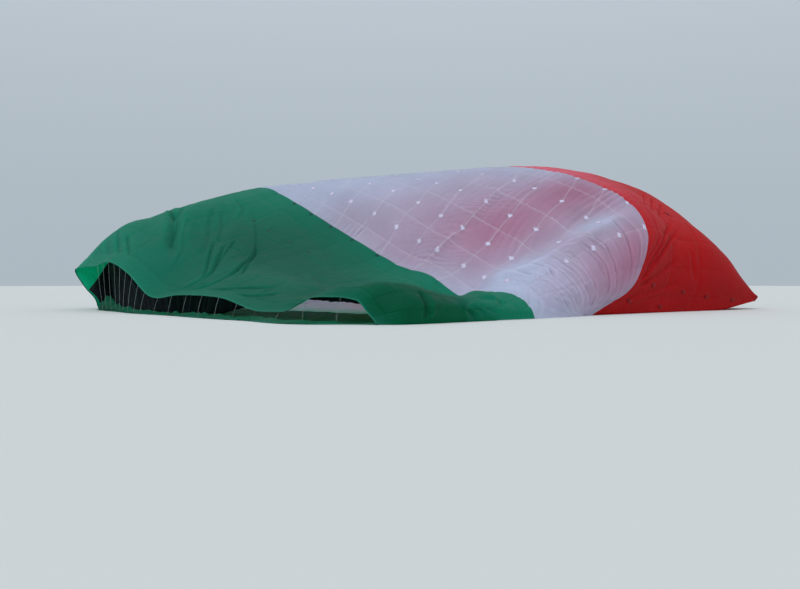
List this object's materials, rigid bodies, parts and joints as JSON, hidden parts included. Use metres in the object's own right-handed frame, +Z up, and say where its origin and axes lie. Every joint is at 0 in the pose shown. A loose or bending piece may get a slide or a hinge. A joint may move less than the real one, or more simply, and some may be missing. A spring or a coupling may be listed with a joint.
{
  "type": "hot air balloon envelope",
  "caption": "Hot air balloon envelope laid on the ground and part filled: a striped cloth cushion with an open tied mouth, a black mouth curtain and a crown vent.",
  "frame": {"origin": "middle of the box round the part, on the ground", "axes": "+Z up, +Y from the open mouth to the crown edge, +X along the mouth towards the low side"},
  "size_m": [30.845, 34.7064, 9.4779],
  "materials": {
    "green_cloth": "coated ripstop nylon, slight sheen",
    "white_cloth": "coated ripstop nylon, slight sheen, thin enough to glow",
    "red_cloth": "coated ripstop nylon, slight sheen",
    "black_cloth": "matt heat-resistant cloth",
    "webbing": "woven tape",
    "rope": "laid rope"
  },
  "bodies": {
    "root": {"crown_hem": "red_cloth", "far_wall_green": "green_cloth", "far_wall_red": "red_cloth", "far_wall_white": "white_cloth", "lower_green": "green_cloth", "lower_hem": "webbing", "lower_red": "red_cloth", "lower_white": "white_cloth", "mouth_curtain_1": "black_cloth", "mouth_curtain_2": "black_cloth", "mouth_curtain_3": "black_cloth", "mouth_hem": "webbing", "mouth_ties": "rope", "mouth_valance": "black_cloth", "near_wall_green": "green_cloth", "near_wall_red": "red_cloth", "near_wall_white": "white_cloth", "top_green_a1": "green_cloth", "top_green_a2": "green_cloth", "top_green_a3": "green_cloth", "top_green_a4": "green_cloth", "top_green_b1": "green_cloth", "top_green_b2": "green_cloth", "top_green_b3": "green_cloth", "top_green_b4": "green_cloth", "top_red_a1": "red_cloth", "top_red_a2": "red_cloth", "top_red_a3": "red_cloth", "top_red_a4": "red_cloth", "top_red_b1": "red_cloth", "top_red_b2": "red_cloth", "top_red_b3": "red_cloth", "top_red_b4": "red_cloth", "top_white_a1": "white_cloth", "top_white_a2": "white_cloth", "top_white_a3": "white_cloth", "top_white_a4": "white_cloth", "top_white_b1": "white_cloth", "top_white_b2": "white_cloth", "top_white_b3": "white_cloth", "top_white_b4": "white_cloth", "vent_panel": "red_cloth", "vent_tape": "webbing"}
  },
  "joints": []
}
